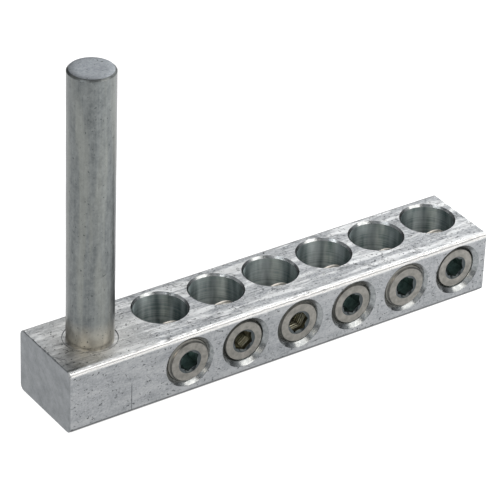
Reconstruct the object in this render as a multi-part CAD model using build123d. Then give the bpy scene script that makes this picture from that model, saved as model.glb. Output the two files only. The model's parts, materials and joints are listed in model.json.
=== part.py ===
from build123d import *
import os
from math import radians, tan

# A terminal bar of one phase: a length of extruded aluminium bar that joins one upright feed rod to a row of
# cable conductors. Each conductor goes down a bore of its own, and a hexagon-socket set screw in the front
# face clamps it. Millimetres. +X runs along the bar away from the rod, the screws face -Y and +Z is up. The
# origin is the middle of the bar's underside.

# Bar stock
bar_depth = 28.6  # front face to back face
bar_height = 21.3
edge_radius = 1.9  # the long edges, as extruded

# Places along the bar, from the sawn end beside the rod
rod_inset = 15.3  # sawn end to rod axis
rod_to_bore = 26.3  # rod axis to first bore axis
bore_count = 6
bore_pitch = 20.0
far_margin = 10.8  # last bore axis to the far sawn end

# Conductor bores, drilled through from the top
bore_diameter = 16.5
bore_setback = 16.9  # front face to bore axes
bore_chamfer = 0.65  # top rims
bore_deburr = 0.3  # bottom rims

# Feed rod, with a turned-down spigot that is pressed into the bar
rod_diameter = 14.5
rod_height = 89.9  # above the bar's top face
rod_setback = 14.0  # front face to rod axis
rod_chamfer = 0.6
spigot_diameter = 12.0
spigot_length = 14.0
spigot_clearance = 0.02  # round the spigot
spigot_end_gap = 0.5  # below the spigot
spot_face_width = 1.1  # the ring that shows round the rod
spot_face_depth = 0.2

# Clamp screws: M14 set screws with a 6 mm hexagon socket
screw_diameter = 14.0
screw_length = 14.0
screw_height = 11.4  # underside to screw axes
screw_clearance = 0.05  # round the thread
screw_rim = 0.5  # chamfer round the outer face
screw_point = 1.0  # chamfer round the point
socket_flats = 6.0
socket_depth = 6.5
socket_lead = 0.9  # width of the socket's countersink outside its flats
socket_lead_angle = 60  # from the socket's axis
countersink_width = 1.4  # 45 degree mouth of each screw hole

# How each screw was left, from the rod end: its face behind the bar's front face, and its socket's turn
screw_recesses = (0.05, 1.0, 0.73, 0.77, 0.1, 1.1)
socket_turns = (24, 37, 5, 37, 32, 38)

# Worked out from the sizes above
bar_length = rod_inset + rod_to_bore + bore_pitch * (bore_count - 1) + far_margin
rod_end_x = -bar_length / 2
front_y = -bar_depth / 2
rod_x = rod_end_x + rod_inset
rod_y = front_y + rod_setback
bore_xs = [rod_x + rod_to_bore + bore_pitch * i for i in range(bore_count)]
bore_y = front_y + bore_setback
seat_z = bar_height - spot_face_depth
cut_margin = 5.0  # how far a cutting shape runs out of the bar


def turned(points):
    """A solid of revolution about Z from its half section in the XZ plane."""
    with BuildPart() as shape:
        with BuildSketch(Plane.XZ):
            with BuildLine():
                Polyline(*points, close=True)
            make_face()
        revolve(axis=Axis.Z)
    return shape.part


def bore_cutter():
    """The drill, with the countersink of the top rim and the deburred bottom rim."""
    r = bore_diameter / 2
    top = bar_height
    above = top + cut_margin
    return turned(
        [
            (0, -cut_margin),
            (r + bore_deburr + cut_margin, -cut_margin),
            (r, bore_deburr),
            (r, top - bore_chamfer),
            (r + bore_chamfer + cut_margin, above),
            (0, above),
        ]
    )


def screw_hole_cutter():
    """The tapped hole at its major diameter, from the front face into the bore, and its 45 degree mouth."""
    r = screw_diameter / 2
    return turned(
        [
            (0, -cut_margin),
            (r + countersink_width + cut_margin, -cut_margin),
            (r, countersink_width),
            (r, bore_setback),
            (0, bore_setback),
        ]
    )


def rod_socket_cutter():
    """The press hole of the spigot under a shallow spot face for the rod's shoulder."""
    hole_r = spigot_diameter / 2 + spigot_clearance
    face_r = rod_diameter / 2 + spot_face_width
    floor = seat_z - spigot_length - spigot_end_gap
    above = bar_height + cut_margin
    return turned([(0, floor), (hole_r, floor), (hole_r, seat_z), (face_r, seat_z), (face_r, above), (0, above)])


def facing_screw(x, depth_y):
    """The place of a screw's shape whose +Z has to run into the bar from the front."""
    return Plane(origin=(x, depth_y, screw_height), x_dir=(1, 0, 0), z_dir=(0, 1, 0)).location


def make_bar():
    """The sawn stock with its bores, screw holes and rod socket."""
    with BuildPart() as stock:
        with BuildSketch(Plane.YZ.offset(rod_end_x)):
            with Locations((0, bar_height / 2)):
                RectangleRounded(bar_depth, bar_height, edge_radius)
        extrude(amount=bar_length)
    bore = bore_cutter()
    screw_hole = screw_hole_cutter()
    cutters = [Pos(rod_x, rod_y, 0) * rod_socket_cutter()]
    for x in bore_xs:
        cutters.append(Pos(x, bore_y, 0) * bore)
        cutters.append(facing_screw(x, front_y) * screw_hole)
    return stock.part - cutters


def make_rod():
    """The round rod with its spigot below the shoulder and a chamfer round its free end."""
    r = rod_diameter / 2
    spigot_r = spigot_diameter / 2
    foot = seat_z - spigot_length
    top = bar_height + rod_height
    shape = turned(
        [
            (0, foot),
            (spigot_r - rod_chamfer, foot),
            (spigot_r, foot + rod_chamfer),
            (spigot_r, seat_z),
            (r, seat_z),
            (r, top - rod_chamfer),
            (r - rod_chamfer, top),
            (0, top),
        ]
    )
    return Pos(rod_x, rod_y, 0) * shape


def socket_cutter(turn):
    """The broached hexagon with its countersunk mouth and its flat floor."""
    flat_r = socket_flats / 2
    mouth_r = flat_r + socket_lead
    with BuildPart() as cutter:
        with BuildSketch():
            RegularPolygon(flat_r, 6, major_radius=False, rotation=turn)
        extrude(amount=socket_depth)
    lead_length = mouth_r / tan(radians(socket_lead_angle))
    mouth = Cone(mouth_r, 0, lead_length, align=(Align.CENTER, Align.CENTER, Align.MIN))
    return cutter.part + mouth


def make_clamp_screw(x, recess, turn):
    """One set screw, its thread as a plain cylinder inside the hole's, with its face towards -Y."""
    r = screw_diameter / 2 - screw_clearance
    body = turned(
        [
            (0, 0),
            (r - screw_rim, 0),
            (r, screw_rim),
            (r, screw_length - screw_point),
            (r - screw_point, screw_length),
            (0, screw_length),
        ]
    )
    return facing_screw(x, front_y + recess) * (body - socket_cutter(turn))


os.makedirs("parts", exist_ok=True)
export_step(make_bar(), "parts/bar.step")
export_step(make_rod(), "parts/rod.step")
for number, (x, recess, turn) in enumerate(zip(bore_xs, screw_recesses, socket_turns), start=1):
    export_step(make_clamp_screw(x, recess, turn), f"parts/clamp_screw_{number}.step")
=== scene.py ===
# %% [markdown]
# # A terminal bar of one phase
# The real object is a sawn length of extruded aluminium bar. A round feed rod stands at one end of
# it, and a row of drilled bores takes the cable conductors, each clamped by a set screw from the
# front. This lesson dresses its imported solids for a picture: every surface is worked out as rings
# of points with numpy, and every finish is a procedural material that starts from how that surface
# was made. The first cell loads the solids as a fixed frame.

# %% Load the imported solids
import json
from math import cos, pi, radians, sin

import bmesh
import bpy
import numpy as np
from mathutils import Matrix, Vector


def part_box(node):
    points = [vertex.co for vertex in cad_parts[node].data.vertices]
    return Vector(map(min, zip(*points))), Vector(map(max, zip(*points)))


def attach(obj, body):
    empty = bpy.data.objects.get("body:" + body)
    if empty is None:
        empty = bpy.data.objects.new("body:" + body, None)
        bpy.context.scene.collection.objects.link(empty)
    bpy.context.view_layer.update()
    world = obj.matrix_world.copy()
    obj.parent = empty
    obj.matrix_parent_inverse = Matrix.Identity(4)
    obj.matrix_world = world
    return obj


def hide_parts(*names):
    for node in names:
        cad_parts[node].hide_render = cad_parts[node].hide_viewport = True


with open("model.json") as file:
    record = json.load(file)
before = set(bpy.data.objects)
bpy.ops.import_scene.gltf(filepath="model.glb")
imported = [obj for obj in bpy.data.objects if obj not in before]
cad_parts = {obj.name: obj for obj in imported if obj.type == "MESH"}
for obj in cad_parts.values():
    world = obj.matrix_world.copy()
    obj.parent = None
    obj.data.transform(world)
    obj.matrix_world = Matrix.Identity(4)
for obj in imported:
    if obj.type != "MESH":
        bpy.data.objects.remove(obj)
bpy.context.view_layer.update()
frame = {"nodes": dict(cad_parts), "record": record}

MM = 0.001  # scene.py works in millimetres and writes its meshes in metres
print("solids:", sorted(frame["nodes"]))

# %% [markdown]
# ## The camera
# The picture was taken from the left, above and in front with a long lens. A camera fitted to the
# edges of the bar, its bores and its rod gives the place, the turn and the lens. A square picture
# is assumed, so the lens is stated for the width of the sensor.

# %% Place the camera
CAMERA_AT = (-450.857, -634.358, 514.139)
CAMERA_TURN = (58.1852, -1.8862, -33.9716)  # degrees about X, Y and Z
CAMERA_LENS = 217.76
CAMERA_SENSOR = 36

camera_data = bpy.data.cameras.new("camera")
camera_data.lens = CAMERA_LENS
camera_data.sensor_width = CAMERA_SENSOR
camera_data.clip_start = 50 * MM
camera = bpy.data.objects.new("camera", camera_data)
camera.location = [v * MM for v in CAMERA_AT]
camera.rotation_euler = [radians(v) for v in CAMERA_TURN]
bpy.context.scene.collection.objects.link(camera)
bpy.context.scene.camera = camera
print("camera", round(np.linalg.norm(CAMERA_AT)), "mm from the bar")

# %% [markdown]
# ## Sizes from the frame
# No piece is placed by eye: the box of each solid and the mounts in the record say where it is.
# Only the small sizes that neither of them holds, such as the chamfers, are named again, each
# where it is first needed.

# %% Read the places of the pieces
def box_mm(node):
    """The lowest and highest corner of a solid, in mm."""
    return [np.array(corner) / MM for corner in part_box(node)]


bar_low, bar_high = box_mm("bar")
rod_low, rod_high = box_mm("rod")
mounts = {mount["name"]: mount for mount in frame["record"]["mounts"]}
screw_nodes = sorted(name for name in frame["nodes"] if name.startswith("clamp_screw"))
conductors = [mounts[f"conductor_{n + 1}"] for n in range(len(screw_nodes))]
bore_axes = [np.array(mount["pos_m"]) / MM for mount in conductors]
bore_r = conductors[0]["dims"]["r_mm"]
rod_axis = np.array(mounts["feed_rod"]["pos_m"]) / MM
rod_r = mounts["feed_rod"]["dims"]["r_mm"]
left, right = bar_low[0], bar_high[0]
front_y, top_z = bar_low[1], bar_high[2]
print("bar", (bar_high - bar_low).round(2), "bores", len(bore_axes), "of radius", bore_r)

# %% [markdown]
# ## Closed surfaces from rings
# A turned piece, a drill and a length of bar have one thing in common: they are rings of points,
# one after the other. The rings could be spun or extruded with modifiers, but worked out as one
# array they can carry a thread, a hexagon or a dent. One function makes all of them into closed
# meshes whose faces point outwards.

# %% Make a closed mesh from rings
def closed_mesh(name, rings):
    """Joins each ring of points to the next one, and closes both ends with a fan to a middle point.

    rings is an array of rows by points round by three coordinates in mm. Seen from the end where
    the rows finish, the points of a ring run anticlockwise, so every face points outwards.
    """
    rows, columns = rings.shape[:2]
    points = np.concatenate([rings.reshape(-1, 3), rings[:1].mean(1), rings[-1:].mean(1)])
    here = np.arange(columns)
    beside = (here + 1) % columns
    row = np.arange(rows - 1)[:, None] * columns
    quads = [row + here, row + beside, row + columns + beside, row + columns + here]
    last = (rows - 1) * columns
    first_fan = np.stack([beside, here, np.full(columns, rows * columns)], -1)
    last_fan = np.stack([last + here, last + beside, np.full(columns, rows * columns + 1)], -1)
    faces = np.stack(quads, -1).reshape(-1, 4).tolist() + first_fan.tolist() + last_fan.tolist()
    mesh = bpy.data.meshes.new(name)
    mesh.from_pydata((points * MM).tolist(), [], faces)
    return mesh


def piece(name, mesh):
    """Links a mesh to the scene as an object at the origin."""
    made = bpy.data.objects.new(name, mesh)
    bpy.context.scene.collection.objects.link(made)
    return made


def smooth(mesh, sharp_from=32):
    """Shades a mesh smoothly, apart from edges that turn by more than sharp_from degrees."""
    mesh.shade_smooth()
    mesh.set_sharp_from_angle(angle=radians(sharp_from))


# %% Make the rings of a turned piece
ROUND = 144  # points round a turned piece, a multiple of six
around = np.arange(ROUND) * 2 * pi / ROUND


def turned(profile, angles=around):
    """Rings round the Z axis. profile lists (height, radius), and a radius may be one per angle."""
    rings = []
    for height, radius in profile:
        reach = np.broadcast_to(radius, angles.shape)
        level = np.broadcast_to(height, angles.shape)
        rings.append(np.stack([reach * np.cos(angles), reach * np.sin(angles), level], -1))
    return np.array(rings, float)


def facing_front(rings, x, y, z):
    """Lays rings down so that their Z axis points out of the bar's front.

    The point (a, b, h) goes to (x + a, y - h, z + b).
    """
    a, b, h = np.moveaxis(rings, -1, 0)
    return np.stack([x + a, y - h, z + b], -1)


print("a turned ring has", ROUND, "points")

# %% [markdown]
# ## The bar's stock
# Extruded bar has the same section all along: a rectangle with rounded corners. The surface is
# that section carried along X. The long front edge has been knocked about in handling, so a few
# shallow dents are pressed into it, each a smooth bump function of the distance to its middle.

# %% Carry the section along the bar
EDGE_R = 1.9  # of the long edges
SAW_BREAK = 0.12  # the broken edge round each sawn end
ARC_POINTS = 11
FLAT_POINTS = (7, 44, 32, 14)  # across the back, the top, the front and the underside
STATION_STEP = 0.6  # from one ring to the next along the bar


def section(inset):
    """The rounded rectangle in Y and Z, moved inwards by inset, anticlockwise seen from +X."""
    r = max(EDGE_R - inset, 0.05)
    half_y, half_z = (bar_high - bar_low)[1:] / 2 - inset - r
    corners = [(1, -1, half_z), (1, 1, half_y), (-1, 1, half_z), (-1, -1, half_y)]
    parts = []
    for n, (side_y, side_z, half_flat) in enumerate(corners):
        angle = (n - 1) * pi / 2 + np.linspace(0, pi / 2, ARC_POINTS)
        corner = [side_y * half_y + r * np.cos(angle), side_z * half_z + r * np.sin(angle)]
        parts.append(np.stack(corner, -1))
        run = np.linspace(0, 2 * half_flat, FLAT_POINTS[n] + 2)[1:-1, None]
        parts.append(parts[-1][-1] + run * np.array([-sin(angle[-1]), cos(angle[-1])]))
    return np.concatenate(parts) + (bar_low + bar_high)[1:] / 2


steps = int((right - left) / STATION_STEP)
stations = [left, *np.linspace(left + SAW_BREAK, right - SAW_BREAK, steps), right]
insets = [SAW_BREAK, *[0] * steps, SAW_BREAK]
stock = np.array([np.insert(section(s), 0, x, axis=1) for x, s in zip(stations, insets)])
print("stock rings", stock.shape)

# %% Dent the front edge and leave a burr at the saw cut
rng = np.random.default_rng(11)
DENTS = 26
DENT_REACH = (left + 4, right - 2)
DENT_TURN = (0.1, 1.45)  # radians round the edge, from the front face to the top
DENT_RADIUS = (0.45, 1.1)
DENT_DEPTH = (0.05, 0.16)
DENT_DIRECTION = (0, 0.7, -0.7)  # into the edge
SAW_BURR = 0.22  # how far the saw tore the top edge down, at most
BURR_LENGTH = 1.6  # how far a torn spot runs along the bar, for each mm that it is torn down


def dent(points, middle, radius, depth, direction):
    """Moves each point along direction by depth times exp(-(distance / radius) squared)."""
    away = np.linalg.norm(points - middle, axis=-1) / radius
    return points + (depth * np.exp(-(away**2)))[..., None] * np.array(direction)


for _ in range(DENTS):
    turn = rng.uniform(*DENT_TURN)
    x = rng.uniform(*DENT_REACH)
    middle = (x, front_y + EDGE_R * (1 - cos(turn)), top_z - EDGE_R * (1 - sin(turn)))
    stock = dent(stock, middle, rng.uniform(*DENT_RADIUS), rng.uniform(*DENT_DEPTH), DENT_DIRECTION)

on_top_edge = stock[0, :, 2] > top_z - EDGE_R
torn = rng.uniform(0, SAW_BURR, on_top_edge.sum())
stock[0, on_top_edge, 2] -= torn
stock[1, on_top_edge, 0] += BURR_LENGTH * torn
print("dents in the front edge:", DENTS)

# %% [markdown]
# ## Drilling and tapping
# The real bar is drilled from above and from the front, and so is this one. Each drill is a closed
# turned surface, and a Boolean modifier takes it away from the stock. The Manifold solver is quick
# and keeps the walls' rings as they are. The screw holes carry a thread, which shows when a screw
# has been run in.

# %% Make the drill of a bore
BORE_CHAMFER = 0.65  # 45 degrees, round the top rim
BORE_DEBURR = 0.3  # 45 degrees, round the bottom rim
OVERRUN = 1.0  # how far a drill runs out of the bar
RINGS_FROM, RINGS_TO, RINGS_STEP = 6.0, 17.0, 0.3  # heights of the rings that the drill left
RING_DEPTH, RING_PITCH, RINGS_FADE = 0.025, 2.3, 5


def bore_drill():
    """From below the bar to above it: the deburred rim, the wall and the countersunk rim.

    Where the drill slowed down it left rings: the radius grows by RING_DEPTH times sin(height)
    squared, and that fades upwards.
    """
    rings = []
    for h in np.arange(RINGS_FROM, RINGS_TO, RINGS_STEP):
        fade = min(1, (RINGS_TO - h) / RINGS_FADE)
        rings.append((h, bore_r + RING_DEPTH * fade * sin(h * 2 * pi / RING_PITCH) ** 2))
    deburred = [(-OVERRUN, bore_r + BORE_DEBURR + OVERRUN), (BORE_DEBURR, bore_r)]
    rim = [(top_z - BORE_CHAMFER, bore_r), (top_z + OVERRUN, bore_r + BORE_CHAMFER + OVERRUN)]
    return turned([*deburred, *rings, *rim])


print("bore drill", bore_drill().shape)

# %% Make the drill of a screw hole
PITCH = 2.0  # of the screws' thread and the holes'
THREAD_FLAT = 0.12  # the flat of a crest or a root, as a share of the pitch
HOLE_R = 7.0  # the crests of the hole's thread
HOLE_MOUTH = 1.4  # 45 degree countersink
HOLE_GROOVE = 0.35  # depth of the hole's thread
HOLE_STEP = 0.25  # between the rings of its thread
CHATTER = 0.02  # how much the countersink shook
CHATTER_RINGS = 7


def thread_cut(height, angles):
    """How deep a thread is cut at a height and angle, from 0 on the crest to 1 at the root.

    The phase is height / pitch - angle / one turn, which climbs with the angle as a right-hand
    thread does. The cut is a triangle wave of the phase, cut off flat at the crest and the root.
    """
    phase = (height / PITCH - angles / (2 * pi)) % 1
    return np.clip((1 - abs(2 * phase - 1) - THREAD_FLAT) / (1 - 2 * THREAD_FLAT), 0, 1)


def screw_hole_drill(depth):
    """From the bore's middle out to the front: the thread's grooves and the countersunk mouth."""
    heights = np.arange(-depth, -HOLE_MOUTH - 0.3, HOLE_STEP)
    thread = [(h, HOLE_R + HOLE_GROOVE * thread_cut(h, around)) for h in heights]
    mouth = [(-HOLE_MOUTH - 0.1, HOLE_R)]
    for n, h in enumerate(np.linspace(-HOLE_MOUTH, 0, CHATTER_RINGS)):
        mouth.append((h, HOLE_R + HOLE_MOUTH + h + CHATTER * (-1) ** n))
    return turned([*thread, *mouth, (OVERRUN, HOLE_R + HOLE_MOUTH + OVERRUN)])


print("screw hole drill", screw_hole_drill(bore_axes[0][1] - front_y).shape)

# %% Make the drill of the rod's socket
SPOT_R = rod_r + 1.1  # of the spot face
SPOT_DEPTH = 0.2
SPIGOT_R = 6.0
SPIGOT_CLEARANCE = 0.02  # round the spigot
SPIGOT_END_GAP = 0.5  # below the spigot


def rod_socket_drill():
    """The blind hole for the rod's spigot and the shallow spot face round it."""
    hole_r = SPIGOT_R + SPIGOT_CLEARANCE
    floor = rod_low[2] - SPIGOT_END_GAP
    seat = top_z - SPOT_DEPTH
    return turned([(floor, hole_r), (seat, hole_r), (seat, SPOT_R), (top_z + OVERRUN, SPOT_R)])


print("rod socket drill", rod_socket_drill().shape)

# %% Put the drills in place
def screw_axis(node):
    """Where a screw's axis meets its outer face: x, y and z."""
    low, high = box_mm(node)
    return (low[0] + high[0]) / 2, low[1], (low[2] + high[2]) / 2


drills = [rod_socket_drill() + [rod_axis[0], rod_axis[1], 0]]
for axis, node in zip(bore_axes, screw_nodes):
    drills.append(bore_drill() + [axis[0], axis[1], 0])
    x, _, z = screw_axis(node)
    drills.append(facing_front(screw_hole_drill(axis[1] - front_y), x, front_y, z))
print("drills:", len(drills))

# %% [markdown]
# The cut surface has slivers where a ring of one drill meets a ring of another. They would leave
# stray faces in an exported file, so corners that nearly touch are made one, faces with many
# corners are split into triangles, and triangles without an area are dissolved.

# %% Take the drills away from the stock
SLIVER = 0.002  # corners closer than this are one corner

bar = piece("busbar", closed_mesh("busbar", stock))
cutters = [piece(f"drill_{n}", closed_mesh(f"drill_{n}", r)) for n, r in enumerate(drills)]
for cutter in cutters:
    boolean = bar.modifiers.new(cutter.name, "BOOLEAN")
    boolean.operation = "DIFFERENCE"
    boolean.solver = "MANIFOLD"
    boolean.object = cutter
bpy.context.view_layer.update()
drilled = bpy.data.meshes.new_from_object(bar.evaluated_get(bpy.context.evaluated_depsgraph_get()))
bar.modifiers.clear()
for cutter in cutters:
    bpy.data.objects.remove(cutter)

cleaned = bmesh.new()
cleaned.from_mesh(drilled)
bmesh.ops.remove_doubles(cleaned, verts=cleaned.verts, dist=SLIVER * MM)
many_sided = [face for face in cleaned.faces if len(face.verts) > 4]
bmesh.ops.triangulate(cleaned, faces=many_sided, ngon_method="BEAUTY")
bmesh.ops.dissolve_degenerate(cleaned, edges=cleaned.edges, dist=SLIVER * MM)
cleaned.to_mesh(drilled)
cleaned.free()
bar.data = drilled
smooth(bar.data)
print("bar faces", len(bar.data.polygons))

# %% [markdown]
# ## The clamp screws
# Each is a set screw with a hexagon socket. Its surface starts at the middle of the point, climbs
# the thread, turns over the rim, crosses the face and goes down into the socket to its floor, all
# as one row of rings. The rim is worn round over more than a millimetre: a sharp one would show
# from far away as a thin black line.

# %% Name the sizes of a screw
SCREW_R = 6.95
SCREW_LENGTH = 14.0
POINT = 1.0  # chamfer round the point
THREAD_DEPTH = 1.1
THREAD_STEP = 0.2
THREAD_END = -1.5  # the thread's rings stop here, behind the face
RIM_CURVE = ((-1.4, 0), (-0.9, 0.07), (-0.5, 0.23), (-0.18, 0.43), (-0.05, 0.5), (0, 0.59))
FACE_R = 5.2  # a ring in the middle of the face, to keep its quads even
SOCKET_FLATS = 6.0
SOCKET_DEPTH = 6.5
SOCKET_MOUTH_R = 3.9
SOCKET_RINGS = 36
TURNS = (24, 37, 5, 37, 32, 38)  # degrees from +X to a socket's corner
CHIPPED = (0, 0.11, 0.13, 0, 0, 0)  # how rough the broach left each socket, in mm
CHIP_PITCH = 0.8
print("a screw", 2 * SCREW_R, "mm across in a hole", 2 * HOLE_R, "mm across")

# %% Work out a screw
def hexagon(angles, turn):
    """The distance from the axis to a hexagon's side at each angle.

    It is half the flats over the cosine of the angle to the side's middle.
    """
    from_corner = (angles - turn) % (pi / 3)
    return SOCKET_FLATS / 2 / np.cos(from_corner - pi / 6)


def screw_rings(turn, chips):
    """All rings of a screw, with its outer face at height 0 and its point below it.

    The thread fades in behind the point and out before the rim. Below the socket's lead-in cone,
    which stands 60 degrees from the axis, chips is the height of a sine wave down its walls.
    """
    angles = around + turn
    side = hexagon(angles, turn)
    start = -SCREW_LENGTH + POINT
    profile = [(-SCREW_LENGTH, SCREW_R - POINT - 1), (-SCREW_LENGTH, SCREW_R - POINT)]
    for h in np.arange(start, THREAD_END, THREAD_STEP):
        fade = np.clip(min((h - start) / 1.2, (THREAD_END - 0.2 - h) / 0.9), 0, 1)
        profile.append((h, SCREW_R - THREAD_DEPTH * fade * thread_cut(h, angles)))
    profile += [(h, SCREW_R - inset) for h, inset in RIM_CURVE]
    profile += [(0, FACE_R), (0, SOCKET_MOUTH_R + 0.1), (-0.03, SOCKET_MOUTH_R - 0.03)]
    lead = (SOCKET_MOUTH_R - side) / np.tan(pi / 3)
    profile += [(-lead, side), (-lead - 0.05, side)]
    for depth in np.linspace(0.7, SOCKET_DEPTH, SOCKET_RINGS):
        rough = chips * min(1, max(0, depth - 1.2)) * sin(2 * pi * depth / CHIP_PITCH)
        profile.append((-depth, side - 0.04 + rough))
    profile += [(-SOCKET_DEPTH, SOCKET_FLATS / 2 - 0.1), (-SOCKET_DEPTH, 1.5)]
    return turned(profile, angles)


screws = []
for node, turn, chips in zip(screw_nodes, TURNS, CHIPPED):
    rings = facing_front(screw_rings(radians(turn), chips), *screw_axis(node))
    screw = piece(node.replace("clamp", "set"), closed_mesh(node, rings))
    smooth(screw.data, 24)
    screws.append(screw)
print("screw faces", len(screws[0].data.polygons))

# %% [markdown]
# ## The feed rod
# The rod is drawn round stock. It isn't perfectly straight-sided: a slow ripple of a hundredth of
# a millimetre or two makes its reflections waver as they do on real drawn bar.

# %% Work out the rod
ROD_CHAMFER = 0.6  # round the top, and round the spigot's foot
SHANK_STEP = 1.5  # from one ring to the next up the shank
RIPPLE_INSET = 0.022  # keeps the ripple's crests inside the rod's radius


def rod_rings():
    """From the spigot's foot, over the shoulder, up the shank and round the chamfer to the top.

    The ripple is two sine waves of the height, one with two crests round the rod and one with
    three.
    """
    foot, top = rod_low[2], rod_high[2]
    seat = top_z - SPOT_DEPTH
    chamfer_r = rod_r - ROD_CHAMFER
    profile = [(foot, SPIGOT_R - ROD_CHAMFER), (foot + ROD_CHAMFER, SPIGOT_R)]
    profile += [(seat, SPIGOT_R), (seat, rod_r - 0.05)]
    for z in np.arange(seat + 0.05, top - ROD_CHAMFER - 0.2, SHANK_STEP):
        ripple = 0.012 * np.sin(z / 3.1 + 2 * around) + 0.01 * np.sin(z / 7.3 - 3 * around)
        profile.append((z, rod_r - RIPPLE_INSET + ripple))
    profile += [(top - ROD_CHAMFER, rod_r - 0.01), (top - 0.07, chamfer_r + 0.05)]
    profile += [(top, chamfer_r - 0.08), (top, 4.5), (top - 0.02, 2.0)]
    return turned(profile) + [rod_axis[0], rod_axis[1], 0]


rod = piece("feed_rod", closed_mesh("feed_rod", rod_rings()))
smooth(rod.data)
print("rod faces", len(rod.data.polygons))

# %% [markdown]
# ## Materials
# Everything here is bare metal, so what tells the finishes apart is how they were made: extruded,
# sawn, drilled, countersunk, drawn, or turned and plated. One function adds a node with its
# settings and links. Colours are written as sRGB hex values, and one function turns them to
# linear ones. The sizes of all patterns are real ones in millimetres.

# %% Add nodes and colours
def linear(hex_colour):
    """An sRGB hex colour as linear RGBA.

    A value c becomes c / 12.92 up to 0.04045, and ((c + 0.055) / 1.055) to the power 2.4 above it.
    """
    values = np.array([int(hex_colour[i : i + 2], 16) for i in (1, 3, 5)]) / 255
    low = values / 12.92
    high = ((values + 0.055) / 1.055) ** 2.4
    return (*np.where(values <= 0.04045, low, high).tolist(), 1.0)


def add(tree, kind, inputs=None, **settings):
    """Adds a shader node. An input that is a socket is linked, and any other value is set."""
    made = tree.nodes.new("ShaderNode" + kind)
    for name, value in settings.items():
        setattr(made, name, value)
    for name, value in (inputs or {}).items():
        if isinstance(value, bpy.types.NodeSocket):
            tree.links.new(value, made.inputs[name])
        else:
            made.inputs[name].default_value = value
    return made


def metal(name):
    """A metallic material, its shader and its Object coordinates."""
    material = bpy.data.materials.new(name)
    material.use_nodes = True
    tree = material.node_tree
    shader = tree.nodes["Principled BSDF"]
    shader.inputs["Metallic"].default_value = 1.0
    return material, tree, shader, add(tree, "TexCoord").outputs["Object"]


def finish(tree, shader, colour, roughness):
    """Gives a shader its colour and its roughness."""
    tree.links.new(colour, shader.inputs["Base Color"])
    tree.links.new(roughness, shader.inputs["Roughness"])


print("white is", linear("#ffffff"))

# %% Reckon with nodes
def math(tree, operation, a, b=0.0):
    """One step of arithmetic."""
    return add(tree, "Math", {0: a, 1: b}, operation=operation).outputs[0]


def times(tree, *values):
    """The product of two or more values."""
    product = values[0]
    for value in values[1:]:
        product = math(tree, "MULTIPLY", product, value)
    return product


def weigh(tree, *parts):
    """Adds up values, each given with its weight."""
    total = 0.0
    for value, weight in parts:
        inputs = {0: value, 1: weight, 2: total}
        total = add(tree, "Math", inputs, operation="MULTIPLY_ADD").outputs[0]
    return total


def ramp(tree, value, low, high, to_low=0.0, to_high=1.0):
    """Maps low..high to to_low..to_high and holds the ends."""
    inputs = {"Value": value, 1: low, 2: high, 3: to_low, 4: to_high}
    return add(tree, "MapRange", inputs).outputs[0]


def close_to(tree, value, target, far, near):
    """1 where a value is within near of the target, falling to 0 where it is far from it."""
    off = math(tree, "ABSOLUTE", math(tree, "SUBTRACT", value, target))
    return ramp(tree, off, far, near)


def vector(tree, operation, a, b=(0, 0, 0), output=0):
    """One step of vector arithmetic."""
    return add(tree, "VectorMath", {0: a, 1: b}, operation=operation).outputs[output]


def split(tree, place):
    """The X, Y and Z of a vector."""
    return add(tree, "SeparateXYZ", {0: place}).outputs


def from_line(tree, place, axis, across):
    """The distance in metres from a line through axis, a point in mm.

    across has a 0 along the line and a 1 in the other two directions.
    """
    away = vector(tree, "SUBTRACT", place, tuple(v * MM for v in axis))
    return vector(tree, "LENGTH", vector(tree, "MULTIPLY", away, across), output="Value")


print("reckoning helpers ready")

# %% Patterns, layers and bumps
def grain(tree, place, size_mm, detail=2.0, roughness=0.5, turn=(0, 0, 0)):
    """Noise whose grains measure size_mm along X, Y and Z."""
    scale = [1 / (MM * size) for size in size_mm]
    turned_place = add(tree, "Mapping", {"Vector": place, "Rotation": turn, "Scale": (1, 1, 1)})
    stretched = add(tree, "Mapping", {"Vector": turned_place.outputs[0], "Scale": scale})
    inputs = {"Vector": stretched.outputs[0], "Scale": 1.0}
    return add(tree, "TexNoise", {**inputs, "Detail": detail, "Roughness": roughness}).outputs["Fac"]


def line_of(tree, noise, width):
    """Thin wandering lines where the noise is about one half, as contour lines on a map."""
    return close_to(tree, noise, 0.5, width, width * 0.4)


def mix(tree, share, a, b):
    """Mixes two colours by share. Each is a socket or a hex colour."""
    a, b = [linear(colour) if isinstance(colour, str) else colour for colour in (a, b)]
    return add(tree, "Mix", {0: share, 6: a, 7: b}, data_type="RGBA").outputs[2]


def layer(tree, skin, share, strength, colour):
    """Lays a colour over a skin where share is high, and no thicker than strength."""
    return mix(tree, times(tree, share, strength), skin, colour)


def bump(tree, shader, steps, strength=1.0):
    """Stacks bumps on the shader. Each step is a height from 0 to 1 and its size in mm."""
    normal = None
    for height, size_mm in steps:
        inputs = {"Height": height, "Distance": size_mm * MM, "Strength": strength}
        if normal is not None:
            inputs["Normal"] = normal
        normal = add(tree, "Bump", inputs).outputs[0]
    tree.links.new(normal, shader.inputs["Normal"])


print("pattern helpers ready")

# %% [markdown]
# ### Extruded aluminium
# The die leaves fine lines along the bar, the oxide lies on it in pale patches, and handling adds
# pits, thin scratches and one line scribed on the front to mark it out. Round the rod the top is
# handled dull and painted pale: handling wear with a painted reflection of the lamp in the rod. The
# side faces are painted darker than the top, a painted shade. The patterns are noise, most of it
# stretched along X as the die's lines are. To the eye it is a satin metal, streaky along X and busy
# up close.

# %% Scratches and marks of the skin
SCRIBED_X, SCRIBED_TO = -55.0, 10.4  # the scribed line's place, and the height it reaches


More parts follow.
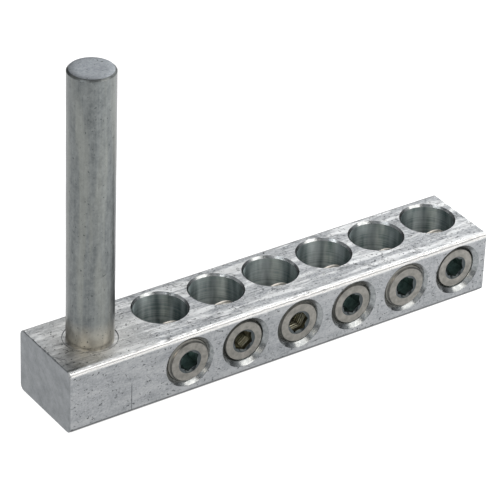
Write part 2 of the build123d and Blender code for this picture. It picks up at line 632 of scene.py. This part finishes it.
def scratches_of(tree, place):
    """Straight scratches along and across the bar, and curled ones, in different worn patches."""
    along = line_of(tree, grain(tree, place, (22, 2.4, 2.4), 1, 0.4, (0, 0, radians(7))), 0.013)
    across = line_of(tree, grain(tree, place, (2.2, 14, 14), 1, 0.4, (0, 0, radians(-28))), 0.012)
    curled = line_of(tree, grain(tree, place, (2.6, 2.6, 2.6), 2, 0.5), 0.018)
    worn = grain(tree, place, (9, 6, 6), 2)
    straight = times(tree, math(tree, "MAXIMUM", along, across), ramp(tree, worn, 0.52, 0.58))
    return math(tree, "MAXIMUM", straight, times(tree, curled, ramp(tree, worn, 0.42, 0.38)))


def scribed_line(tree, at):
    """The upright line on the lower half of the front face."""
    line = close_to(tree, at[0], SCRIBED_X * MM, 0.2 * MM, 0.1 * MM)
    low = ramp(tree, at[2], SCRIBED_TO * MM, (SCRIBED_TO - 0.6) * MM)
    return times(tree, line, ramp(tree, at[1], 0.0, -1 * MM), low)


def painted_seat_shadow(tree, from_rod, at):
    """The thin dark ring at the rim of the rod's spot face, a painted shadow of its step."""
    ring = close_to(tree, from_rod, SPOT_R * MM, 0.2 * MM, 0.1 * MM)
    return times(tree, ring, ramp(tree, at[2], (top_z - 1) * MM, (top_z - 0.4) * MM))


print("scribed line at", SCRIBED_X, "mm")

# %% [markdown]
# The long edges are rubbed smooth, and their upper halves are painted pale: rubbed wear and a
# painted highlight. The front one gathers the light of three lamps in a bright line, and a painted
# grey line, a painted dark reflection, divides it. The lower edges are painted dark, a painted shade
# under the bar. On a rounded edge the normal leans to the side and up or down at once, so the
# product of those two parts finds it.

# %% Rub the long edges, and paint their light and shade
PAINTED_DARK_LINE = 0.65  # the upward part of the normal where the painted grey line runs, a painted dark reflection


def rubbed_and_painted_edges(tree, skin, streaks, mottle):
    """The skin with its long edges rubbed and painted light and shade, and how much of a long edge
    each point is.
    """
    facing = split(tree, add(tree, "NewGeometry").outputs["Normal"])
    edge = ramp(tree, math(tree, "ABSOLUTE", times(tree, facing[1], facing[2])), 0.1, 0.3)
    upper, lower = ramp(tree, facing[2], -0.1, 0.1), ramp(tree, facing[2], 0.1, -0.1)
    # Rubbed wear and a painted highlight: the upper long edges are painted pale.
    rubbed_and_painted_highlight = times(tree, edge, ramp(tree, streaks, 0.3, 0.5, 0.65, 0.9), upper)
    skin = mix(tree, rubbed_and_painted_highlight, skin, "#c9caca")
    # A painted shade: the lower long edges are painted near black, where the bar meets the floor.
    skin = layer(tree, skin, times(tree, edge, lower), 0.9, "#303437")
    # A painted dark reflection: a grey line across the front edge's highlight, at a set upward part
    # of the normal.
    wavering = weigh(tree, (facing[2], 1.0), (mottle, 0.06))
    line = close_to(tree, wavering, PAINTED_DARK_LINE, 0.16, 0.05)
    line = times(tree, line, ramp(tree, facing[1], 0.0, -0.1))
    return layer(tree, skin, line, 0.7, "#808284"), edge


print("die line where the normal's upward part is", PAINTED_DARK_LINE)

# %% Extruded aluminium
def extruded_aluminium():
    """Streaks, pale patches, wear and edges. The two side faces are calmer than the top and painted
    darker, a painted shade.
    """
    material, tree, shader, place = metal("extruded_aluminium")
    at = split(tree, place)
    on_side = ramp(tree, math(tree, "ABSOLUTE", at[1]), (-front_y - 0.4) * MM, -front_y * MM)
    on_top = ramp(tree, at[2], (top_z - 1) * MM, top_z * MM)
    from_rod = from_line(tree, place, rod_axis, (1, 1, 0))
    streaks = grain(tree, place, (16, 0.45, 0.45), 3, 0.65)
    bands = grain(tree, place, (16, 2.6, 2.6), 3, 0.6)
    mottle = grain(tree, place, (4.2, 2.6, 2.6), 4, 0.68)
    grit = grain(tree, place, (0.8, 0.55, 0.55), 2, 0.6)

    streaky = (math(tree, "SUBTRACT", streaks, 0.5), ramp(tree, on_side, 0, 1, 0.35, 0.12))
    tone = weigh(tree, streaky, (mottle, 0.55), (grit, 0.45))
    skin = mix(tree, ramp(tree, tone, 0.37, 0.63), "#7b7e81", "#bcbec0")
    patchy = times(tree, ramp(tree, bands, 0.5, 0.6), ramp(tree, on_side, 0, 1, 0.72, 0.2))
    skin = mix(tree, patchy, skin, "#dcdddd")
    # Handling wear and a painted reflection: the top round the rod is painted pale, standing in for
    # the lamp seen in the rod.
    handled_and_painted_reflection = times(tree, ramp(tree, from_rod, 21 * MM, 10 * MM), on_top)
    skin = layer(tree, skin, handled_and_painted_reflection, 0.45, "#dfdfdc")
    # A painted shade: the two side faces are painted darker than the top.
    skin = layer(tree, skin, on_side, 0.5, "#84878a")

    scratches = times(tree, scratches_of(tree, place), ramp(tree, on_side, 0, 1, 0.8, 0.45))
    pits = ramp(tree, grain(tree, place, (0.9, 0.7, 0.7), 1, 0.5), 0.66, 0.72)
    skin = layer(tree, skin, scratches, 0.62, "#45494c")
    skin = layer(tree, skin, pits, 0.75, "#3a3e41")
    skin = layer(tree, skin, scribed_line(tree, at), 0.7, "#45494c")
    # A painted shadow: a thin dark ring at the rim of the spot face, where its step casts shade.
    skin = layer(tree, skin, painted_seat_shadow(tree, from_rod, at), 0.75, "#45494c")
    skin, edge = rubbed_and_painted_edges(tree, skin, streaks, mottle)

    rough = weigh(tree, (ramp(tree, mottle, 0.35, 0.65, 0.32, 0.5), 1.0), (handled_and_painted_reflection, 0.12))
    finish(tree, shader, skin, times(tree, rough, ramp(tree, edge, 0, 1, 1, 0.68)))
    sunk = math(tree, "SUBTRACT", 1.0, math(tree, "MAXIMUM", pits, scratches))
    calm = ramp(tree, edge, 0, 1, 1, 0.25)
    bump(tree, shader, [(streaks, 0.035), (mottle, 0.1), (grit, 0.03), (sunk, 0.05)], calm)
    return material


skin_metal = extruded_aluminium()
print(skin_metal.name)

# %% [markdown]
# ### Sawn aluminium
# A circular saw leaves shallow arcs about its own axle across the ends. The distance from the axle
# drives a noise, which gives the arcs. To the eye the face between them is a dull, mottled grey.

# %% Sawn aluminium
SAW_AXLE = (0, 70, -60)


def sawn_aluminium():
    """Arcs about the saw's axle over a mottled grey with fine specks."""
    material, tree, shader, place = metal("sawn_aluminium")
    reach = from_line(tree, place, SAW_AXLE, (0, 1, 1))
    arcs = grain(tree, add(tree, "CombineXYZ", {0: reach}).outputs[0], (0.7, 1, 1), 3, 0.6)
    mottle = grain(tree, place, (3, 3, 3), 4, 0.6)
    fine = grain(tree, place, (0.5, 0.5, 0.5), 3, 0.6)
    tone = weigh(tree, (arcs, 0.25), (mottle, 0.5), (fine, 0.25))
    skin = mix(tree, ramp(tree, tone, 0.35, 0.65), "#74787b", "#939699")
    skin = mix(tree, ramp(tree, fine, 0.68, 0.76, 0, 0.6), skin, "#55595c")
    tree.links.new(skin, shader.inputs["Base Color"])
    shader.inputs["Roughness"].default_value = 0.5
    bump(tree, shader, [(arcs, 0.008), (mottle, 0.06), (fine, 0.03)])
    return material


sawn_metal = sawn_aluminium()
print(sawn_metal.name)

# %% [markdown]
# ### Drilled aluminium
# A drill leaves fine rings round the wall. Such rings scatter light up and down and hardly
# sideways, so the shader is anisotropic with its tangent up the wall. To the eye the lamps become
# soft upright bands, and the bore looks darker than the skin because it mirrors the rest of itself.

# %% Drilled aluminium
def drilled_aluminium():
    """Rings of 0.9 mm and upright stains, with the reflections drawn out along the bore."""
    material, tree, shader, place = metal("drilled_aluminium")
    rings = grain(tree, place, (900, 900, 0.9), 2, 0.6)
    stains = grain(tree, place, (2.8, 2.8, 14), 2, 0.5)
    tone = weigh(tree, (rings, 0.45), (stains, 0.55))
    skin = mix(tree, ramp(tree, tone, 0.38, 0.62), "#6b7a7b", "#c0cacb")
    tree.links.new(skin, shader.inputs["Base Color"])
    shader.inputs["Roughness"].default_value = 0.52
    shader.inputs["Anisotropic"].default_value = 0.9
    normal = add(tree, "NewGeometry").outputs["Normal"]
    round_about = vector(tree, "CROSS_PRODUCT", (0, 0, 1), normal)
    tree.links.new(vector(tree, "CROSS_PRODUCT", normal, round_about), shader.inputs["Tangent"])
    bump(tree, shader, [(rings, 0.014)])
    return material


drilled_metal = drilled_aluminium()
print(drilled_metal.name)

# %% [markdown]
# ### Countersunk aluminium
# The countersink shaves the rims with one wide edge, which leaves them nearly as bright as a
# mirror. They show the lamps as crisp bright and dark blocks, with a little chatter. The mouths
# of the screw holes are cut deeper, are a little duller than the rims of the bores, and are painted
# darker, a painted shade.

# %% Countersunk aluminium
def countersunk_aluminium():
    """Bright chattered rims; below the top face, where the screw holes' mouths are, duller and
    painted darker, a painted shade.
    """
    material, tree, shader, place = metal("countersunk_aluminium")
    chatter = grain(tree, place, (1.3, 1.3, 1.3), 2, 0.5)
    fine = grain(tree, place, (0.5, 0.5, 0.5), 2)
    skin = mix(tree, ramp(tree, chatter, 0.35, 0.65), "#7b7f81", "#a0a3a4")
    # A painted shade: the screw holes' mouths are painted darker than the bores' rims.
    screw_mouth_with_painted_shade = ramp(tree, split(tree, place)[2], (top_z - 1) * MM, (top_z - 1.2) * MM)
    skin = layer(tree, skin, screw_mouth_with_painted_shade, 0.4, "#65696b")
    rough = weigh(tree, (ramp(tree, fine, 0.3, 0.7, 0.16, 0.26), 1.0), (screw_mouth_with_painted_shade, 0.03))
    finish(tree, shader, skin, rough)
    bump(tree, shader, [(chatter, 0.035)])
    return material


countersunk_metal = countersunk_aluminium()
print(countersunk_metal.name)

# %% [markdown]
# ### Drawn aluminium
# The rod was drawn through a die, which leaves fine lines along it. It has been handled more than
# the bar: its grey is duller, a little green, and freckled with dark specks. Its foot is painted
# pale and warm, a painted reflection of the warm lamp, and its sawn end is lighter and rougher than
# the shank.

# %% Drawn aluminium
PAINTED_FOOT_REACH = 9  # how far up the painted pale foot reaches, a painted reflection of the warm lamp


def drawn_aluminium():
    """Streaks and mottle along the rod, a painted pale foot, a sawn end and dark specks over all."""
    material, tree, shader, place = metal("drawn_aluminium")
    streaks = grain(tree, place, (0.7, 0.7, 20), 3, 0.6)
    broad = grain(tree, place, (3.2, 3.2, 40), 2)
    mottle = grain(tree, place, (2.2, 2.2, 3.0), 4, 0.66)
    fine = grain(tree, place, (0.7, 0.7, 0.9), 2, 0.6)
    specks = ramp(tree, grain(tree, place, (0.8, 0.8, 0.9), 1), 0.69, 0.75)
    tone = weigh(tree, (streaks, 0.25), (mottle, 0.5), (fine, 0.25))
    skin = mix(tree, ramp(tree, tone, 0.36, 0.64), "#5a5e5f", "#7c8080")
    skin = mix(tree, ramp(tree, broad, 0.5, 0.66, 0, 0.3), skin, "#979992")
    # A painted reflection: the foot is painted pale and warm, standing in for the warm lamp seen
    # there.
    foot = ramp(tree, split(tree, place)[2], (top_z + PAINTED_FOOT_REACH) * MM, top_z * MM)
    foot = times(tree, foot, ramp(tree, mottle, 0.3, 0.6, 0.7, 1))
    skin = layer(tree, skin, foot, 0.8, "#c8c2b4")

    sawn = mix(tree, ramp(tree, fine, 0.35, 0.65), "#93989d", "#a7acb1")
    facing = split(tree, add(tree, "NewGeometry").outputs["Normal"])
    end = ramp(tree, facing[2], 0.85, 0.95)
    skin = mix(tree, end, skin, sawn)
    skin = layer(tree, skin, specks, 0.7, "#3d4141")
    rough = ramp(tree, mottle, 0.35, 0.65, 0.28, 0.4)
    finish(tree, shader, skin, math(tree, "MAXIMUM", rough, ramp(tree, end, 0, 1, 0, 0.5)))
    bump(tree, shader, [(streaks, 0.02), (mottle, 0.05), (fine, 0.015)])
    return material


rod_metal = drawn_aluminium()
print(rod_metal.name)

# %% [markdown]
# ### Plated steel
# The screws are turned steel with a thin plating, warmer than the aluminium. Their rounded rims
# are worn rough and painted pale, a painted light in the gap round the screw, and behind them a dark
# seam is painted in the gap of the thread, a painted shade. A thin painted dark line, also shade,
# runs where the face turns into the rim. The sockets are painted dark towards their mouths, a
# painted shade, and hold a film, grey-green in a clean one and olive with cutting oil in one that
# the broach left rough.

# %% Plated steel
RIM_LINE_R = 6.47  # a thin painted dark line, a painted shade, where the face turns into the rim
FLANK_R = 6.7  # outside it the rim is worn rough and painted pale, a painted light
GAP_SHADE_FROM, GAP_SHADE_TO = 1.25, 5  # depths of the painted shade in the gap behind the screw's own face
INSIDE_R = 4.0  # inside it is the socket, with its lead-in cone, painted dark as a painted shade
FILM_R = 3.65  # inside it are the socket's walls, with their film
FILM_FROM = 0.45  # the depth where the film starts


def plated_steel(name, film_low, film_high, axis):
    """The finish of the screw whose axis meets its face at axis. The film is two hex colours."""
    material, tree, shader, place = metal(name)
    mottle = grain(tree, place, (1.6, 1.6, 1.6), 4, 0.6)
    fine = grain(tree, place, (0.35, 0.35, 0.35), 2)
    away = from_line(tree, place, axis, (1, 0, 1))
    down = math(tree, "SUBTRACT", split(tree, place)[1], axis[1] * MM)
    flank_painted_light = ramp(tree, away, FLANK_R * MM, (FLANK_R + 0.15) * MM)
    inside_painted_dark = ramp(tree, away, INSIDE_R * MM, (INSIDE_R - 0.08) * MM)
    deep = ramp(tree, down, FILM_FROM * MM, (FILM_FROM + 0.15) * MM)
    walls = times(tree, ramp(tree, away, FILM_R * MM, (FILM_R - 0.1) * MM), deep)

    face = mix(tree, ramp(tree, mottle, 0.35, 0.65), "#6e6d69", "#888681")
    # A painted light: the rim's flank is painted pale in the dark gap round the screw.
    face = mix(tree, flank_painted_light, face, "#d6d4ce")
    # A painted shade: the gap of the thread behind the rim is painted near black.
    painted_gap_shade = ramp(tree, down, GAP_SHADE_FROM * MM, (GAP_SHADE_FROM + 0.25) * MM)
    painted_gap_shade = times(tree, flank_painted_light, painted_gap_shade, ramp(tree, down, GAP_SHADE_TO * MM, (GAP_SHADE_TO - 1) * MM))
    face = mix(tree, painted_gap_shade, face, "#2f3131")
    # A painted shade: a thin dark line where the face turns into the rim.
    painted_rim_line = close_to(tree, away, RIM_LINE_R * MM, 0.12 * MM, 0.04 * MM)
    face = layer(tree, face, painted_rim_line, 0.55, "#3c3f40")
    # A painted shade: the socket and its lead-in cone are painted dark.
    face = mix(tree, inside_painted_dark, face, "#44494b")
    film = mix(tree, ramp(tree, mottle, 0.3, 0.7), film_low, film_high)

    rough = ramp(tree, fine, 0.3, 0.7, 0.3, 0.4)
    rough = times(tree, rough, ramp(tree, inside_painted_dark, 0, 1, 1, 0.4))
    rough = math(tree, "MAXIMUM", rough, ramp(tree, flank_painted_light, 0, 1, 0, 0.65))
    rough = math(tree, "MAXIMUM", rough, ramp(tree, walls, 0, 1, 0, 0.3))
    finish(tree, shader, mix(tree, walls, face, film), rough)
    bump(tree, shader, [(fine, 0.012)])
    return material


print("one plated finish for each screw")

# %% [markdown]
# ## Dressing the pieces
# Each new piece rides the body of the solid that it stands for. The bar has four finishes, and its
# faces are sorted by where they lie and where they face: within reach of a bore's or a hole's axis
# they were drilled or countersunk, at the ends they were sawn, and the rest is the extruded skin.

# %% Sort the bar's faces by how they were made
EXTRUDED, SAWN, DRILLED, COUNTERSUNK = range(4)
count = len(bar.data.polygons)
middles = np.empty(count * 3)
normals = np.empty(count * 3)
bar.data.polygons.foreach_get("center", middles)
bar.data.polygons.foreach_get("normal", normals)
middles = middles.reshape(-1, 3) / MM
normals = abs(normals.reshape(-1, 3))


def from_axis(points, axis, flat):
    """Distance from an axis, measured in the two directions of flat."""
    return np.linalg.norm(points[:, flat] - np.array(axis)[list(flat)], axis=1)


made_by = np.full(count, EXTRUDED)
at_end = (middles[:, 0] <= left + 1) | (middles[:, 0] >= right - 1)
made_by[(normals[:, 0] > 0.5) & at_end] = SAWN
for axis, node in zip(bore_axes, screw_nodes):
    in_bore = from_axis(middles, axis, (0, 1)) < bore_r + BORE_CHAMFER
    in_bore &= normals[:, 2] < 0.9
    made_by[in_bore] = DRILLED
    made_by[in_bore & (normals[:, 2] > 0.5)] = COUNTERSUNK
    in_hole = from_axis(middles, screw_axis(node), (0, 2)) < HOLE_R + HOLE_MOUTH
    in_hole &= (middles[:, 1] < axis[1]) & (normals[:, 1] < 0.9)
    made_by[in_hole] = DRILLED
    made_by[in_hole & (middles[:, 1] < front_y + HOLE_MOUTH)] = COUNTERSUNK
bar.data.materials.clear()
for material in (skin_metal, sawn_metal, drilled_metal, countersunk_metal):
    bar.data.materials.append(material)
bar.data.polygons.foreach_set("material_index", made_by)
print("extruded, sawn, drilled and countersunk faces:", np.bincount(made_by))

# %% Join each piece to its body
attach(bar, "bar")
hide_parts("bar")

rod.data.materials.append(rod_metal)
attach(rod, "bar")
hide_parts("rod")

CLEAN, OILY = ("#6c7b79", "#a0adab"), ("#64645a", "#a19f8c")
for screw, node, chips in zip(screws, screw_nodes, CHIPPED):
    film = OILY if chips else CLEAN
    screw.data.materials.append(plated_steel(f"plated_steel_{node[-1]}", *film, screw_axis(node)))
    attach(screw, node)
    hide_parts(node)
print("pieces:", 2 + len(screws))

# %% [markdown]
# ## The floor
# The photograph has a plain white ground without a shadow. It could be a white world, but then the
# bar would mirror white all round. So the floor is a light table: a pale sheet that glows, apart
# from where the bar lies on it and would be lit from below. It grows brighter to the front right,
# which the front face and the right side of the rod mirror.

# %% Lay the floor
FLOOR_HALF = 3000.0
FLOOR_GLOW = 1.0  # just white in the picture
GLOW_FROM, GLOW_FULL = -1.4, -0.9  # from the bar's outline: both lie under its rounded edges
GLOW_RIGHT, GLOW_REACH = 1.8, 250  # how much brighter the table is that far to the front right

corners = np.array([(-1, -1, 0), (1, -1, 0), (1, 1, 0), (-1, 1, 0)]) * FLOOR_HALF * MM
floor_mesh = bpy.data.meshes.new("floor")
floor_mesh.from_pydata(corners.tolist(), [], [(0, 1, 2, 3)])
floor = piece("floor", floor_mesh)
table = bpy.data.materials.new("light_table")
table.use_nodes = True
sheet = table.node_tree
table_shader = sheet.nodes["Principled BSDF"]
table_shader.inputs["Base Color"].default_value = linear("#707070")
table_shader.inputs["Roughness"].default_value = 0.9
table_shader.inputs["Emission Color"].default_value = (1, 1, 1, 1)
spot = add(sheet, "TexCoord").outputs["Object"]
outline = tuple(bar_high * MM)
beyond = split(sheet, vector(sheet, "SUBTRACT", vector(sheet, "ABSOLUTE", spot), outline))
beyond = math(sheet, "MAXIMUM", beyond[0], beyond[1])
glow = ramp(sheet, beyond, GLOW_FROM * MM, GLOW_FULL * MM, 0.0, FLOOR_GLOW)
to_right = vector(sheet, "DOT_PRODUCT", spot, (0.8, -0.6, 0), "Value")
glow = times(sheet, glow, ramp(sheet, to_right, 0.0, GLOW_REACH * MM, 1.0, GLOW_RIGHT))
sheet.links.new(glow, table_shader.inputs["Emission Strength"])
floor.data.materials.append(table)
print("floor", FLOOR_HALF * 2, "mm across")

# %% [markdown]
# ## The lamps
# Bare metal shows whatever is round it, so the lamps are large soft boxes, and each is placed where
# the faces named beside it mirror it to the camera. A lamp's power grows with its area, so that it
# can be made larger without looking brighter in the metal.

# %% Hang the lamps
WARM = "#fff8f0"
SOFT_BOXES = (  # name, azimuth, elevation, distance, width, height, brightness, colour
    ("back_box", 50, 33, 1500, 1400, 700, 1.5, "#ffffff"),  # the top face
    ("far_box", 62, 33, 1500, 1000, 600, 0.9, "#ffffff"),  # the top face, most at its far end
    ("left_box", -102, 53, 1400, 600, 300, 3.4, "#ffffff"),  # the rims' right sides
    ("right_box", 154, 46, 1400, 1150, 420, 3.8, WARM),  # bores, screw mouths, front edge
    ("top_box", 84, 59, 1400, 620, 320, 3.0, "#ffffff"),  # the upper part of the front edge
    ("front_strip", 150, 12, 1500, 800, 460, 1.6, WARM),  # the lower part of it, and the sockets
    ("near_lamp", -122, 31, 1500, 900, 420, 4.0, "#fff0dc"),  # the bores and the rod's foot
    ("rear_left", -62, 30, 1500, 1300, 500, 0.5, "#ffffff"),  # the bores' right sides
)


def direction(azimuth, elevation):
    """The unit vector of an azimuth, from +Y towards +X, and an elevation, both in degrees."""
    level = cos(radians(elevation))
    return sin(radians(azimuth)) * level, cos(radians(azimuth)) * level, sin(radians(elevation))


def soft_box(name, azimuth, elevation, distance, width, height, brightness, colour):
    """A rectangular lamp that faces the bar. Its power is brightness times pi times its area."""
    lamp = bpy.data.lights.new(name, "AREA")
    lamp.shape = "RECTANGLE"
    lamp.size, lamp.size_y = width * MM, height * MM
    lamp.energy = brightness * pi * lamp.size * lamp.size_y
    lamp.color = linear(colour)[:3]
    made = bpy.data.objects.new(name, lamp)
    made.location = [v * distance * MM for v in direction(azimuth, elevation)]
    made.rotation_euler = (pi / 2 - radians(elevation), 0, pi - radians(azimuth))
    bpy.context.scene.collection.objects.link(made)


for box in SOFT_BOXES:
    soft_box(*box)
print("lamps:", len(SOFT_BOXES))

# %% [markdown]
# ## The room
# Between the lamps the metal mirrors the room. It is brightest in front, and darker towards the
# horizon and overhead. One dark screen breaks up the light in the bores and the screw mouths.

# %% Paint the room
SCREEN_AT = (-170, 47)  # azimuth and elevation of the dark screen
BRIGHT_AT = (-165, 15)

world = bpy.data.worlds.new("studio")
world.use_nodes = True
sky = world.node_tree
looking = add(sky, "TexCoord").outputs["Generated"]
height = split(sky, looking)[2]
to_screen = vector(sky, "DOT_PRODUCT", looking, direction(*SCREEN_AT), "Value")
screen = ramp(sky, to_screen, cos(radians(13)), cos(radians(7)), 1.0, 0.1)
to_bright = vector(sky, "DOT_PRODUCT", looking, direction(*BRIGHT_AT), "Value")
ahead = ramp(sky, to_bright, -0.1, 0.7, 0.3, 1.1)
rising = ramp(sky, height, 0.0, 0.5, 0.12, 1.0)
overhead = ramp(sky, height, 0.75, 0.95, 1.0, 0.25)
background = sky.nodes["Background"].inputs
sky.links.new(times(sky, rising, ahead, screen, overhead), background["Strength"])
background["Color"].default_value = linear("#f4f6f8")
bpy.context.scene.world = world
bpy.context.scene.view_settings.view_transform = "Standard"
print("room painted")
